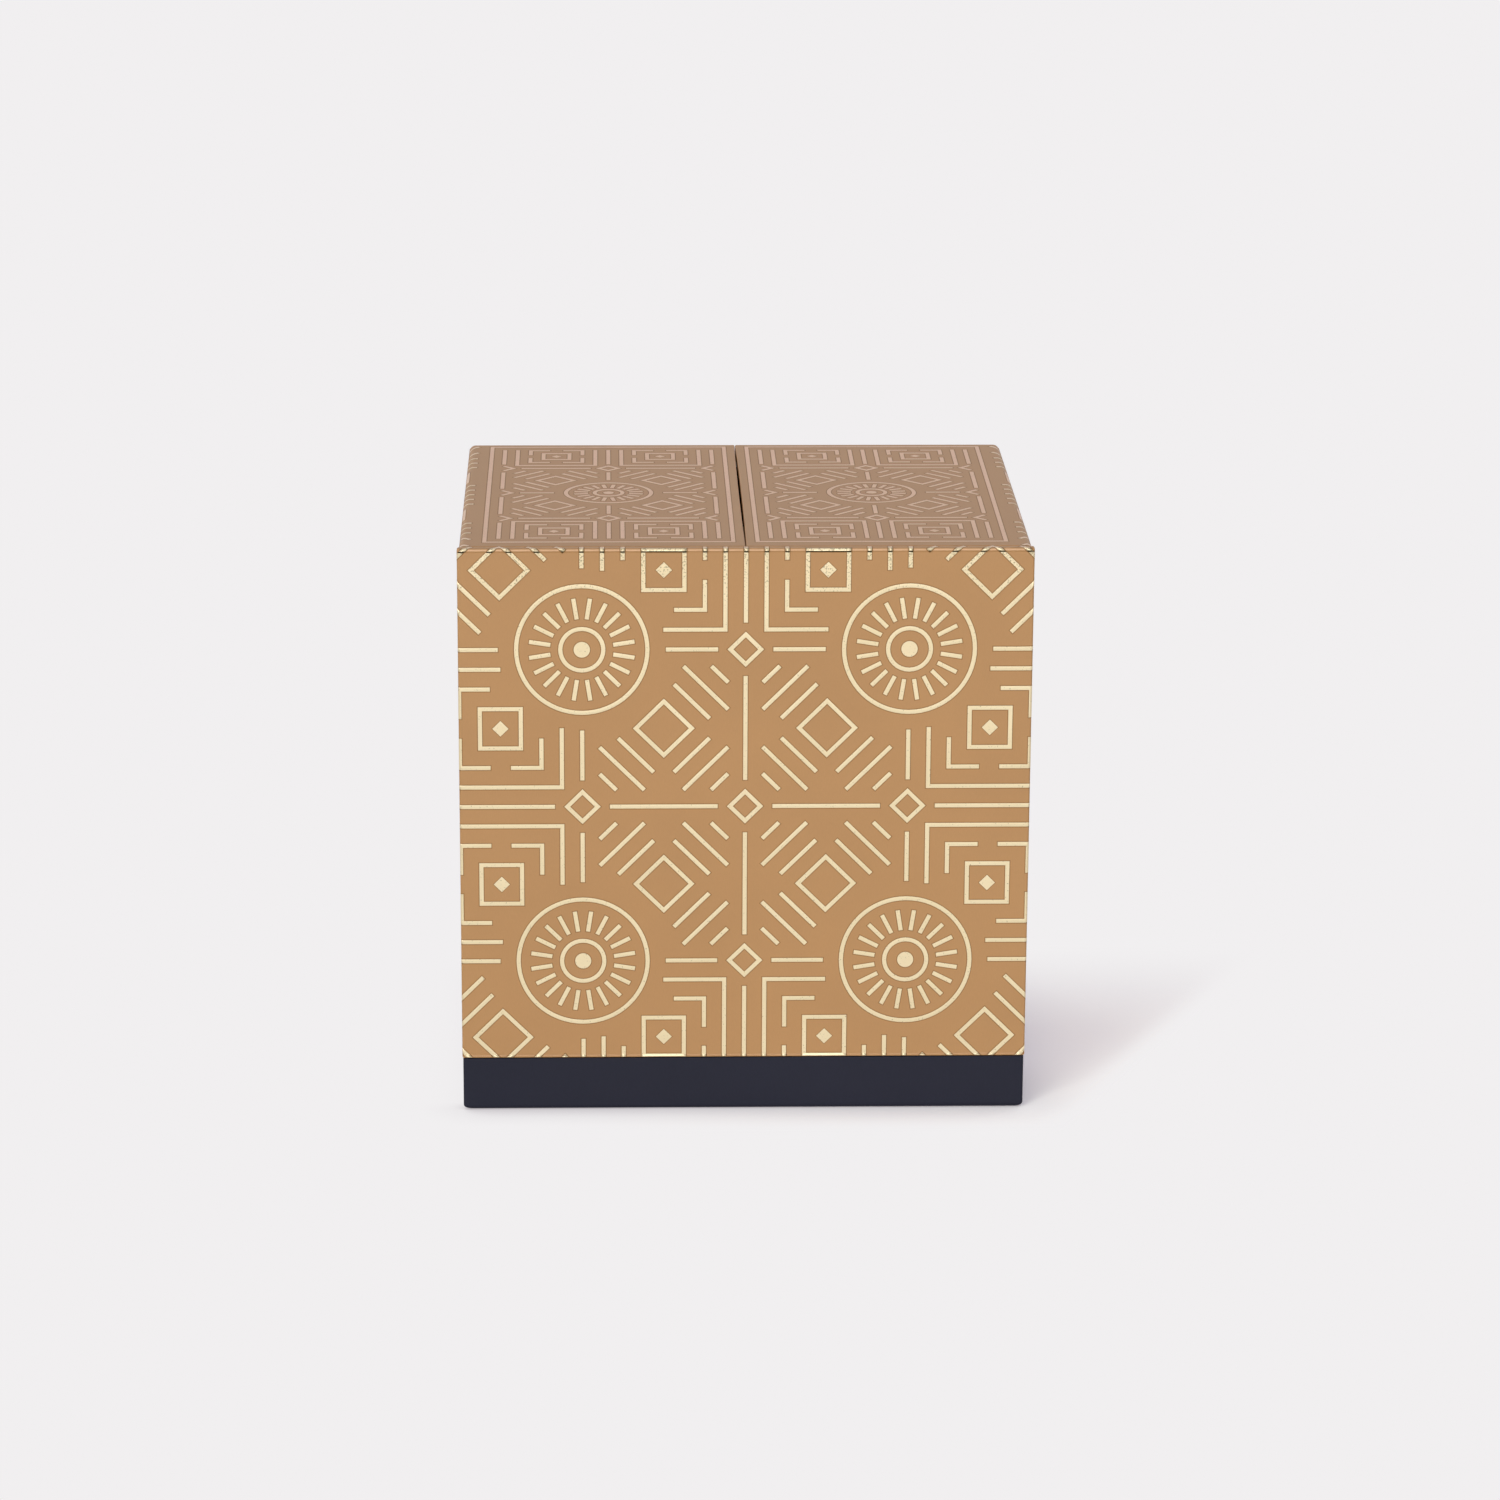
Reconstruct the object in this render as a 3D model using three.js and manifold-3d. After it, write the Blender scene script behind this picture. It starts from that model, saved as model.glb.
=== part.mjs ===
// Mooncake gift box: a rigid board case with two leaves on top that open outwards like
// double doors, standing on a navy plinth, with three lift-out trays of round places inside.
// Millimetres. The origin is the centre of the footprint on the table, +X is to the right
// of someone who faces the front panel, +Y runs to the rear and +Z is up.
import * as THREE from 'three';
import { mergeVertices } from 'three/addons/utils/BufferGeometryUtils.js';
import Module from 'manifold-3d';

// Overall size
const WIDTH = 165; // across the front panel
const DEPTH = 132; // front face to rear face
const HEIGHT = 170; // table to the top of the leaves
const PLINTH_HEIGHT = 16;

// Boards, cards and papers
const WALL_BOARD = 2.5;
const LEAF_BOARD = 2.5;
const PLINTH_BOARD = 2.5;
const LINER_BOARD = 2;
const TRAY_BOARD = 1.6;
const INSERT_CARD = 1;
const LINING_CARD = 0.8;
const HINGE_PAPER = 0.3;

// Steps between neighbouring faces
const SIDE_STEP = 0.4; // side faces stand back from the front panel's ends
const PLINTH_STEP = 0.5; // the plinth stands back from the walls
const SLIT_AT_ENDS = 0.5; // gap between the two leaves, front and rear
const SLIT_AT_MIDDLE = 1.1;

// Rounded edges
const LEAF_ROUND = 2; // outer long edge of each leaf
const FOLD_ROUND = 0.6; // top fold of the front panel
const PLINTH_ROUND = 1.5; // lower edges of the plinth

// Clearances
const GLUE = 0.3; // glue line, and the rest gap under a leaf
const LEAF_FRONT_GAP = 0.4; // leaf to the back of the front panel
const LEAF_END_STEP = 0.25; // a leaf's end stands back from its fold line
const LINING_MARGIN = 1.2; // leaf lining to the neck around it
const TRAY_GAP = 0.6; // tray to the neck, each side
const CATCH_GAP = 1.2; // tray recess to the catch block, each side
const HEADROOM = 2.5; // top tray to the leaf linings

// Hinge strips, magnets and catches
const STRIP_HEIGHT = 7; // how far a hinge strip runs down the wall
const MAGNET_RADIUS = 4;
const MAGNET_THICKNESS = 1.2;
const MAGNET_EDGE = 2.5; // card left between a magnet's pocket and the slit
const CATCH_MARGIN = 1; // block around the magnets above it
const CATCH_HEIGHT = 12;
const PLATE_THICKNESS = 0.8;

// Trays
const TIERS = ['lower', 'middle', 'upper'];
const PLATFORM_HEIGHT = 36; // insert above the tray's floor
const PLACE_WEB = 4; // card left around a round place, shared with its neighbour
const TRAY_NOTCH_RADIUS = 13; // half-round finger notch in a tray's end walls
const THUMB_RADIUS = 11; // half-round thumb cut in an insert's ends

// Facets on round shapes
const PLACE_SIDES = 32;
const NOTCH_SIDES = 32;
const MAGNET_SIDES = 20;
const FILLET_STEPS = 5;

// Faces that several pieces share
const sideFace = WIDTH / 2 - SIDE_STEP; // the leaves fold along this face, just over the wall
const sideInner = sideFace - WALL_BOARD;
const endFace = DEPTH / 2;
const endInner = endFace - WALL_BOARD;
const wallBottom = PLINTH_HEIGHT + GLUE;
const leafUnder = HEIGHT - LEAF_BOARD;
const wallTop = leafUnder - GLUE;
const floorTop = PLINTH_BOARD + GLUE;
const neckOuterX = sideInner - GLUE;
const neckOuterY = endInner - GLUE;
const neckInnerX = neckOuterX - LINER_BOARD;
const neckInnerY = neckOuterY - LINER_BOARD;
const liningTop = leafUnder - GLUE;
const liningUnder = liningTop - LINING_CARD;

// Magnets in the leaves, and the catch blocks under them
const pocketRadius = MAGNET_RADIUS + GLUE;
const magnetX = SLIT_AT_MIDDLE / 2 + MAGNET_EDGE + pocketRadius;
const catchHalfWidth = magnetX + MAGNET_RADIUS + CATCH_MARGIN;
const catchDepth = 2 * (MAGNET_RADIUS + CATCH_MARGIN);
const catchOuterY = neckInnerY - GLUE;
const magnetY = catchOuterY - catchDepth / 2;
const catchTop = liningUnder - GLUE;

// Trays stacked in the neck
const trayHalfX = neckInnerX - TRAY_GAP;
const trayHalfY = neckInnerY - TRAY_GAP;
const recessHalfWidth = catchHalfWidth + CATCH_GAP;
const recessY = catchOuterY - catchDepth - CATCH_GAP;
const stackTop = liningUnder - HEADROOM;
const trayPitch = (stackTop - floorTop + GLUE) / TIERS.length;
const trayHeight = trayPitch - GLUE;
const insertInset = TRAY_BOARD + GLUE;
const placeX = (trayHalfX - insertInset) / 2;
const placeY = (trayHalfY - insertInset) / 2;
const toRecess = Math.hypot(placeX - recessHalfWidth - insertInset, placeY - recessY + insertInset);
const placeRadius = Math.min(placeY, toRecess) - PLACE_WEB / 2;

const TAN = { color: 0xbe9164, roughness: 0.55, metalness: 0 };
const NAVY = { color: 0x2c2c38, roughness: 0.7, metalness: 0 };
const DEEP_NAVY = { color: 0x262733, roughness: 0.8, metalness: 0 };
const CARD = { color: 0xc9a679, roughness: 0.45, metalness: 0.1 };
const STEEL = { color: 0xb4b6ba, roughness: 0.35, metalness: 1 };

const wasm = await Module();
wasm.setup();

// Closed mesh to solid and back
function toSolid(geometry) {
  const bare = geometry.clone();
  bare.deleteAttribute('normal');
  bare.deleteAttribute('uv');
  const merged = mergeVertices(bare, 1e-5);
  return new wasm.Manifold(new wasm.Mesh({
    numProp: 3,
    vertProperties: new Float32Array(merged.attributes.position.array),
    triVerts: new Uint32Array(merged.index.array),
  }));
}

function toGeometry(solid) {
  const mesh = solid.getMesh();
  const geometry = new THREE.BufferGeometry();
  geometry.setAttribute('position', new THREE.BufferAttribute(mesh.vertProperties, 3));
  geometry.setIndex(new THREE.BufferAttribute(mesh.triVerts, 1));
  geometry.computeVertexNormals();
  return geometry;
}

function cut(body, ...tools) {
  return toGeometry(tools.reduce((left, tool) => left.subtract(toSolid(tool)), toSolid(body)));
}

function overlapOf(a, b) {
  return toGeometry(toSolid(a).intersect(toSolid(b)));
}

// Flat board between two corners
function slab(x0, x1, y0, y1, z0, z1) {
  const box = new THREE.BoxGeometry(x1 - x0, y1 - y0, z1 - z0);
  return box.translate((x0 + x1) / 2, (y0 + y1) / 2, (z0 + z1) / 2);
}

// Plan outline raised between two heights
function raise(plan, z0, z1, curveSegments = FILLET_STEPS) {
  const options = { depth: z1 - z0, bevelEnabled: false, curveSegments };
  return new THREE.ExtrudeGeometry(plan, options).translate(0, 0, z0);
}

// Outline in X and Z run from y0 to y1
function runAlongY(section, y0, y1) {
  const options = { depth: y1 - y0, bevelEnabled: false, curveSegments: FILLET_STEPS };
  return new THREE.ExtrudeGeometry(section, options).rotateX(Math.PI / 2).translate(0, y1, 0);
}

// Outline in Y and Z run from x0 to x1
function runAlongX(section, x0, x1) {
  const options = { depth: x1 - x0, bevelEnabled: false, curveSegments: FILLET_STEPS };
  const bar = new THREE.ExtrudeGeometry(section, options);
  return bar.rotateX(Math.PI / 2).rotateZ(Math.PI / 2).translate(x0, 0, 0);
}

// Upright disc
function disc(x, y, radius, z0, z1, sides) {
  const cylinder = new THREE.CylinderGeometry(radius, radius, z1 - z0, sides);
  return cylinder.rotateX(Math.PI / 2).translate(x, y, (z0 + z1) / 2);
}

// Mirror image across the middle plane, with its faces turned the right way out again
function mirrored(geometry) {
  const image = mergeVertices(geometry.clone().scale(-1, 1, 1));
  const index = image.index.array;
  for (let i = 0; i < index.length; i += 3) {
    [index[i], index[i + 1]] = [index[i + 1], index[i]];
  }
  image.computeVertexNormals();
  return image;
}

const group = new THREE.Group();

function add(name, geometry, finish) {
  const mesh = new THREE.Mesh(geometry, new THREE.MeshStandardMaterial(finish));
  mesh.name = name;
  group.add(mesh);
}

// Right-hand piece, and its mirror image on the left
function addPair(name, geometry, finish) {
  add(`right_${name}`, geometry, finish);
  add(`left_${name}`, mirrored(geometry), finish);
}

// Plinth: a shallow tray whose lower edges are rounded
function plinthSection(half) {
  const section = new THREE.Shape();
  section.moveTo(-half, PLINTH_HEIGHT);
  section.lineTo(-half, PLINTH_ROUND);
  section.absarc(PLINTH_ROUND - half, PLINTH_ROUND, PLINTH_ROUND, Math.PI, 1.5 * Math.PI);
  section.absarc(half - PLINTH_ROUND, PLINTH_ROUND, PLINTH_ROUND, 1.5 * Math.PI, 2 * Math.PI);
  section.lineTo(half, PLINTH_HEIGHT);
  return section;
}

function plinth() {
  const halfX = WIDTH / 2 - PLINTH_STEP;
  const halfY = endFace - PLINTH_STEP;
  const acrossFront = runAlongY(plinthSection(halfX), -halfY, halfY);
  const alongSide = runAlongX(plinthSection(halfY), -halfX, halfX);
  const inside = slab(-sideInner, sideInner, -endInner, endInner, PLINTH_BOARD, HEIGHT);
  return cut(overlapOf(acrossFront, alongSide), inside);
}

// Front panel: full width and height, with a rounded fold along its top
function frontPanel() {
  const section = new THREE.Shape();
  section.moveTo(-endFace, wallBottom);
  section.lineTo(-endInner, wallBottom);
  section.lineTo(-endInner, HEIGHT);
  section.lineTo(FOLD_ROUND - endFace, HEIGHT);
  section.absarc(FOLD_ROUND - endFace, HEIGHT - FOLD_ROUND, FOLD_ROUND, Math.PI / 2, Math.PI);
  return runAlongX(section, -WIDTH / 2, WIDTH / 2);
}

// Right side panel, with a rebate near its top for the hinge strip
function sidePanel() {
  const rebateFloor = sideFace - HINGE_PAPER - GLUE;
  const rebateBottom = wallTop - STRIP_HEIGHT - GLUE;
  const section = new THREE.Shape();
  section.moveTo(sideInner, wallBottom);
  section.lineTo(sideFace, wallBottom);
  section.lineTo(sideFace, rebateBottom);
  section.lineTo(rebateFloor, rebateBottom);
  section.lineTo(rebateFloor, wallTop);
  section.lineTo(sideInner, wallTop);
  return runAlongY(section, GLUE - endInner, endInner - GLUE);
}

function hingeStrip() {
  return slab(sideFace - HINGE_PAPER, sideFace, GLUE - endInner, endInner - GLUE,
    wallTop - STRIP_HEIGHT, wallTop);
}

// Right leaf: a board with one rounded long edge and a slightly hollow slit edge
function leaf() {
  const end = sideFace - LEAF_END_STEP;
  const section = new THREE.Shape();
  section.moveTo(0, leafUnder);
  section.lineTo(end, leafUnder);
  section.lineTo(end, HEIGHT - LEAF_ROUND);
  section.absarc(end - LEAF_ROUND, HEIGHT - LEAF_ROUND, LEAF_ROUND, 0, Math.PI / 2);
  section.lineTo(0, HEIGHT);
  const front = LEAF_FRONT_GAP - endInner;
  const board = runAlongY(section, front, endFace);

  const plan = new THREE.Shape();
  plan.moveTo(SLIT_AT_ENDS / 2, endFace);
  plan.quadraticCurveTo(SLIT_AT_MIDDLE - SLIT_AT_ENDS / 2, (front + endFace) / 2,
    SLIT_AT_ENDS / 2, front);
  plan.lineTo(WIDTH, front);
  plan.lineTo(WIDTH, endFace);
  const trimmed = overlapOf(board, raise(plan, 0, HEIGHT + LEAF_BOARD, 2 * FILLET_STEPS));

  const pocketTop = leafUnder + MAGNET_THICKNESS + 2 * GLUE;
  const pockets = [-magnetY, magnetY].map((y) => (
    disc(magnetX, y, pocketRadius, 0, pocketTop, MAGNET_SIDES)));
  return cut(trimmed, ...pockets);
}

function leafLining() {
  const slitEdge = SLIT_AT_MIDDLE / 2 + LINING_MARGIN;
  const halfY = neckInnerY - LINING_MARGIN;
  return slab(slitEdge, neckInnerX - LINING_MARGIN, -halfY, halfY, liningUnder, liningTop);
}

function magnet(y) {
  const z0 = leafUnder + GLUE;
  return disc(magnetX, y, MAGNET_RADIUS, z0, z0 + MAGNET_THICKNESS, MAGNET_SIDES);
}

// Rear catch block under the slit, with a shallow pocket for its steel plate
const plateHalfWidth = catchHalfWidth - 2 * CATCH_MARGIN;
const plateHalfDepth = catchDepth / 2 - 2 * CATCH_MARGIN;

function catchBlock(side) {
  const block = slab(-catchHalfWidth, catchHalfWidth, -catchDepth / 2, catchDepth / 2,
    catchTop - CATCH_HEIGHT, catchTop);
  const pocketX = plateHalfWidth + GLUE;
  const pocketY = plateHalfDepth + GLUE;
  const pocket = slab(-pocketX, pocketX, -pocketY, pocketY,
    catchTop - PLATE_THICKNESS - GLUE, HEIGHT);
  return cut(block, pocket).translate(0, side * magnetY, 0);
}

function catchPlate(side) {
  return slab(-plateHalfWidth, plateHalfWidth, side * magnetY - plateHalfDepth,
    side * magnetY + plateHalfDepth, catchTop - PLATE_THICKNESS, catchTop);
}

// Tray outline: a rectangle with a recess front and rear that clears the catch blocks
function trayPlan(inset) {
  const x = trayHalfX - inset;
  const y = trayHalfY - inset;
  const recessX = recessHalfWidth + inset;
  const recessEnd = recessY - inset;
  const plan = new THREE.Shape();
  plan.moveTo(-x, -y);
  plan.lineTo(-recessX, -y);
  plan.lineTo(-recessX, -recessEnd);
  plan.lineTo(recessX, -recessEnd);
  plan.lineTo(recessX, -y);
  plan.lineTo(x, -y);
  plan.lineTo(x, y);
  plan.lineTo(recessX, y);
  plan.lineTo(recessX, recessEnd);
  plan.lineTo(-recessX, recessEnd);
  plan.lineTo(-recessX, y);
  plan.lineTo(-x, y);
  return plan;
}

function tray(bottom) {
  const top = bottom + trayHeight;
  const shell = raise(trayPlan(0), bottom, top);
  const inside = raise(trayPlan(TRAY_BOARD), bottom + TRAY_BOARD, HEIGHT);
  const length = 2 * trayHalfX + 2 * TRAY_BOARD;
  const notch = new THREE.CylinderGeometry(TRAY_NOTCH_RADIUS, TRAY_NOTCH_RADIUS, length,
    NOTCH_SIDES).rotateZ(Math.PI / 2).translate(0, 0, top);
  return cut(shell, inside, notch);
}

// Insert: a folded card platform with four round places and a thumb cut at each end
function insert(trayBottom) {
  const bottom = trayBottom + TRAY_BOARD + GLUE;
  const top = bottom + PLATFORM_HEIGHT;
  const platform = raise(trayPlan(insertInset), bottom, top);
  const hollow = raise(trayPlan(insertInset + INSERT_CARD), 0, top - INSERT_CARD);
  const cuts = [];
  for (const x of [-placeX, placeX]) {
    for (const y of [-placeY, placeY]) {
      cuts.push(disc(x, y, placeRadius, 0, HEIGHT, PLACE_SIDES));
    }
  }
  for (const x of [insertInset - trayHalfX, trayHalfX - insertInset]) {
    cuts.push(disc(x, 0, THUMB_RADIUS, top - THUMB_RADIUS, HEIGHT, NOTCH_SIDES));
  }
  return cut(platform, hollow, ...cuts);
}

add('plinth', plinth(), NAVY);

add('front_panel', frontPanel(), TAN);
add('rear_panel', slab(-sideFace, sideFace, endInner, endFace, wallBottom, wallTop), TAN);
addPair('side_panel', sidePanel(), TAN);
addPair('hinge_strip', hingeStrip(), TAN);

add('front_neck_liner', slab(-neckOuterX, neckOuterX, -neckOuterY, -neckInnerY,
  floorTop, wallTop), DEEP_NAVY);
add('rear_neck_liner', slab(-neckOuterX, neckOuterX, neckInnerY, neckOuterY,
  floorTop, wallTop), DEEP_NAVY);
addPair('neck_liner', slab(neckInnerX, neckOuterX, GLUE - neckInnerY, neckInnerY - GLUE,
  floorTop, wallTop), DEEP_NAVY);

add('front_catch_block', catchBlock(-1), DEEP_NAVY);
add('rear_catch_block', catchBlock(1), DEEP_NAVY);
add('front_catch_plate', catchPlate(-1), STEEL);
add('rear_catch_plate', catchPlate(1), STEEL);

addPair('leaf', leaf(), TAN);
addPair('leaf_lining', leafLining(), DEEP_NAVY);
addPair('leaf_front_magnet', magnet(-magnetY), STEEL);
addPair('leaf_rear_magnet', magnet(magnetY), STEEL);

TIERS.forEach((tier, index) => {
  const bottom = floorTop + index * trayPitch;
  add(`${tier}_tray`, tray(bottom), NAVY);
  add(`${tier}_insert`, insert(bottom), CARD);
});

export default group;
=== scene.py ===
"""Mooncake gift box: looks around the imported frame. Blender works in metres, and the sizes
below are in millimetres and become metres where a mesh is made."""
import math

import bmesh
import bpy
from mathutils import Matrix, Vector


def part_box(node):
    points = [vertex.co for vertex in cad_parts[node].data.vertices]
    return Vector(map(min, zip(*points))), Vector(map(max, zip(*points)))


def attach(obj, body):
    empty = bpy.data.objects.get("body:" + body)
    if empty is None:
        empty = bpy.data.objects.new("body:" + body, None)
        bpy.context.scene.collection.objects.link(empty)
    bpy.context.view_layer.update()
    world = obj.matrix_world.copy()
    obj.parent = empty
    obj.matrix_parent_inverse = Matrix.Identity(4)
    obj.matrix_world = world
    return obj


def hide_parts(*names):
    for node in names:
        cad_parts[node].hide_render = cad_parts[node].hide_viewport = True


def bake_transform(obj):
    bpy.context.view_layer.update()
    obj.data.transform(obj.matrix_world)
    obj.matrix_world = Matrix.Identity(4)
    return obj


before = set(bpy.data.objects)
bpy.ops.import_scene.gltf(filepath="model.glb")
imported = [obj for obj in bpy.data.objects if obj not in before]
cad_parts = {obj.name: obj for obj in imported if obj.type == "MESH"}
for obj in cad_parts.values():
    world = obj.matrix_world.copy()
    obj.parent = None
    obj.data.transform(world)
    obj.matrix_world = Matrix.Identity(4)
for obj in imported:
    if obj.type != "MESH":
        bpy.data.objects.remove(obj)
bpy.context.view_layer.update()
MM = 0.001


def edges_of(name):
    """Lowest and highest corner of a CAD node in millimetres."""
    low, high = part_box(name)
    return [c / MM for c in low], [c / MM for c in high]


# Sizes that come from the frame
PANEL_LOW, PANEL_HIGH = edges_of("front_panel")
SIDE_LOW, SIDE_HIGH = edges_of("right_side_panel")
REAR_LOW, REAR_HIGH = edges_of("rear_panel")
LEAF_LOW, LEAF_HIGH = edges_of("right_leaf")
PLINTH_HIGH = edges_of("plinth")[1]
STRIP_LOW = edges_of("right_hinge_strip")[0]
HALF_WIDTH = PANEL_HIGH[0]
FRONT = PANEL_LOW[1]
REAR = REAR_HIGH[1]
TOP = PANEL_HIGH[2]
WALL_BOTTOM = PANEL_LOW[2]
SIDE_FACE = SIDE_HIGH[0]
WALL_TOP = SIDE_HIGH[2]
LEAF_UNDER = LEAF_LOW[2]

# Front panel: its roundings, and how far the paper lies back between the folds
PANEL_FOLD = 0.75
PANEL_FOOT = 0.4
PANEL_END = 0.6
PANEL_SUNK = 0.2
PANEL_EASE = 0.5
PANEL_BACK_FOOT = 0.3
PANEL_BACK_RIM = 0.35
EASE_STEPS = 5
LEAST_FOLD = 0.04

# Side and rear walls
WALL_EDGE = 0.25
WALL_EDGE_HALF = 0.07  # drawn in by this much where the edge is half turned
WALL_JOINT = 0.05      # between the front panel and the side walls
WALL_BEVEL = 0.2
REAR_CORNER = 1.0

# Leaves: the long outer edge is the roundest, and the slit edges are a little hollow
LEAF_END = SIDE_FACE - 0.1
LEAF_ROUND = 2.0
LEAF_EDGE = 0.4
LEAF_LOWER_EDGE = 0.3
LEAF_REAR = 0.9
LEAF_REAR_IN = 0.25
LEAF_LEAST_FLAT = 0.01
LEAF_STATIONS = 12
SLIT_AT_ENDS = LEAF_LOW[0] - 0.18
SLIT_HOLLOW = 0.27
POCKET_RADIUS = 4.05
POCKET_DEPTH = 1.8

# Paper hinges: the sheet lies just inside the side face and is glued to wall and leaf
HINGE_OUTER = SIDE_FACE - 0.17
HINGE_INNER = SIDE_FACE - 0.35
HINGE_ON_WALL = 2.5
HINGE_ON_LEAF = 1.4
HINGE_REAR = REAR - 0.8
HINGE_STEPS = 12

# Plinth
PLINTH_ROUND = 1.5
PLINTH_CORNER = 0.9
PLINTH_INNER_CORNER = 0.3
PLINTH_RIM = 0.3
PLINTH_RIM_HALF = 0.09
PLINTH_BOARD = 2.5
PLINTH_WRAP = 0.3  # how much the paper on the plinth's ends adds to its half width

# Broken edges of the CAD nodes that keep their shape
BOARD_BREAK = 0.3
INSERT_BREAK = 0.25
LINING_BREAK = 0.2
MAGNET_BREAK = 0.15
PLATE_BREAK = 0.1
BREAK_SEGMENTS = 2
BREAK_FROM = 40  # degrees between two faces
FLAT_WITHIN = 0.5
WELD_WITHIN = 0.01

# Meshes
LEAST_RADIUS = 0.03
PAST = 1          # how far a cutter or a design runs past what trims it
FLAT_WEIGHT = 90  # over 50, a larger face counts for more where two faces share a corner
POCKET_SIDES = 32

# Steps in a quarter turn
FOOT_TURN = 5
FOLD_TURN = 8
PLINTH_TURN = 7
CORNER_TURN = 6
LEAF_TURN = 10
END_TURN = 4

# Foil lines, and the painted shade of the paper that is pressed in around them
STROKE = 1.2
PITCH = 5.875
FOIL_PROUD = 0.03
GROOVE_SHADE_PROUD = 0.012
GROOVE_SHADE_EDGE = 0.28
FOIL_SUNK = 0.03

# Where the foil starts and ends
FRONT_FOIL_ROUND = 0.9  # how far it runs round the upright edges
FRONT_FOIL_FOOT = 0.2
RIM_FLAT = 2
RIM_BARE = 0.6
REAR_FOIL_ROUND = 0.5
SIDE_FOIL_FRONT = PANEL_HIGH[1] + 0.9
SIDE_FOIL_REAR = REAR - 1.9
SIDE_FOIL_OVER = 2.2    # how far it runs over the leaf's rounded end
LEAF_FOIL_FOOT = 0.35
TOP_FRAME = (3.5, 74.8, -58.0, REAR - 3.6)  # slit side, wall side, front, rear

# Painted highlight along the front's top fold, a paler and glossier strip of paper, and painted dark
# reflection on the foil just below it
FOLD_HIGHLIGHT_LOW = TOP - PANEL_FOLD * 0.95
FOLD_HIGHLIGHT_HIGH = TOP - PANEL_FOLD * 0.1
FOLD_HIGHLIGHT_STEPS = 60
FOLD_HIGHLIGHT_PROUD = 0.006
DARK_REFLECTION_REACH = 0.5
DARK_REFLECTION_GAP = 0.04
DARK_REFLECTION_PROUD = FOIL_PROUD + 0.01
DARK_SPECKS_FROM = 150  # height where the foil's painted dark reflection specks begin to grow towards the fold

# The design, in pitches
CELL_PITCHES = 8
CELL_MARGIN = 0.85
LOZENGE_STEP = 1.37
BREAK_HALF = 0.5      # half the gap in a broken line
LINE_TRIM = 1.35      # what the lines between cells leave free at a crossing
CROSSING_LOZENGE = 0.75
DOT = 0.4
SUN_RING = 3.2
SUN_CLEAR = 4.1       # other lines stay this far from a sun's middle
SUN_CORE = 1.05
RAYS_FROM = 1.55
RAYS_TO = SUN_RING - 0.6
RAYS = 20
SUN_RING_SIDES = 64
SUN_CORE_SIDES = 32
ROUND_DOT = 24        # sides of a dot
SQUARE_DOT = 4

# Following a line through a window, in millimetres
SAMPLE_STEP = 0.4
HALVINGS = 12
SHORTEST = 0.8 * STROKE
LEAST_TURN = 1e-4     # sine of the turn below which a point is left out of a line
NO_TURN = 1e-7        # the same for points that lie on each other, in square millimetres
SHARPEST = 0.5        # squared sum of a corner's two normals, below which its mitre stops growing
ON_CUT = 1e-6         # a polygon that passes a cut by less isn't split
SPOT_DIGITS = 4       # decimals that tell two points apart

# Patterns in the materials: noise scales for each metre, and where most of a noise's values lie
PAPER_CLOUD = 38
PAPER_FIBRE = 2600
PAPER_GRAIN = 6500
FIBRE_STRETCH = (1, 1, 0.3)
FOIL_CLOUD = 55
FOIL_SPECK = 3000
FOIL_REFLECTION_SPECK = 1900
METAL_STREAK = 1500
NOISE_LOW = 0.3
NOISE_HIGH = 0.7
FLECK_HIGH = 0.68
FLECK_DEPTH = 1.6     # a fleck is darker by this many times the paper's spread
# Painted reflection: dark specks in every foil's colour, thicker towards the top fold
DARK_SPECK_LOW = 0.26
DARK_SPECK_HIGH = 0.37
DARK_SPECK_GROWTH = 0.12     # how much of the noise's range the painted dark specks gain up to the top fold
DARK_SPECK_TINT = (0.5, 0.5, 0.475)
WHITE = (1.0, 1.0, 1.0)

# Foil: half metal under a gloss that is rosy at a glancing look
FOIL_METALLIC = 0.5
FOIL_GLANCE = (1.0, 0.6, 0.88, 1)


# Materials
def new_material(name):
    material = bpy.data.materials.new(name)
    material.use_nodes = True
    tree = material.node_tree
    return material, tree.nodes, tree.links, tree.nodes["Principled BSDF"]


def node(nodes, kind, **values):
    made = nodes.new(kind)
    for key, value in values.items():
        if key in made.inputs:
            made.inputs[key].default_value = value
        else:
            setattr(made, key, value)
    return made


def ramp(nodes, links, value, stops):
    """Colour that follows a value through stops; a stop with one number is a grey."""
    made = nodes.new("ShaderNodeValToRGB")
    elements = made.color_ramp.elements
    while len(elements) < len(stops):
        elements.new(0.5)
    for element, (place, colour) in zip(elements, stops):
        element.position = place
        element.color = (*colour, 1) if not isinstance(colour, float) else (colour,) * 3 + (1,)
    links.new(value, made.inputs["Fac"])
    return made.outputs["Color"]


def noise(nodes, links, coords, scale, detail, rough, stretch=None):
    made = node(nodes, "ShaderNodeTexNoise", Scale=scale, Detail=detail, Roughness=rough)
    if stretch:
        mapping = node(nodes, "ShaderNodeMapping", Scale=stretch)
        links.new(coords, mapping.inputs["Vector"])
        coords = mapping.outputs["Vector"]
    links.new(coords, made.inputs["Vector"])
    return made.outputs["Fac"]


def maths(nodes, links, operation, *terms):
    """Result of a Math node whose terms are sockets or plain numbers."""
    made = node(nodes, "ShaderNodeMath", operation=operation)
    for place, term in enumerate(terms):
        if isinstance(term, (int, float)):
            made.inputs[place].default_value = term
        else:
            links.new(term, made.inputs[place])
    return made.outputs[0]


def multiplied(nodes, links, first, second):
    """Two colours multiplied."""
    mix = node(nodes, "ShaderNodeMix", data_type="RGBA", blend_type="MULTIPLY")
    mix.inputs["Factor"].default_value = 1
    links.new(first, mix.inputs["A"])
    links.new(second, mix.inputs["B"])
    return mix.outputs["Result"]


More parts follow.
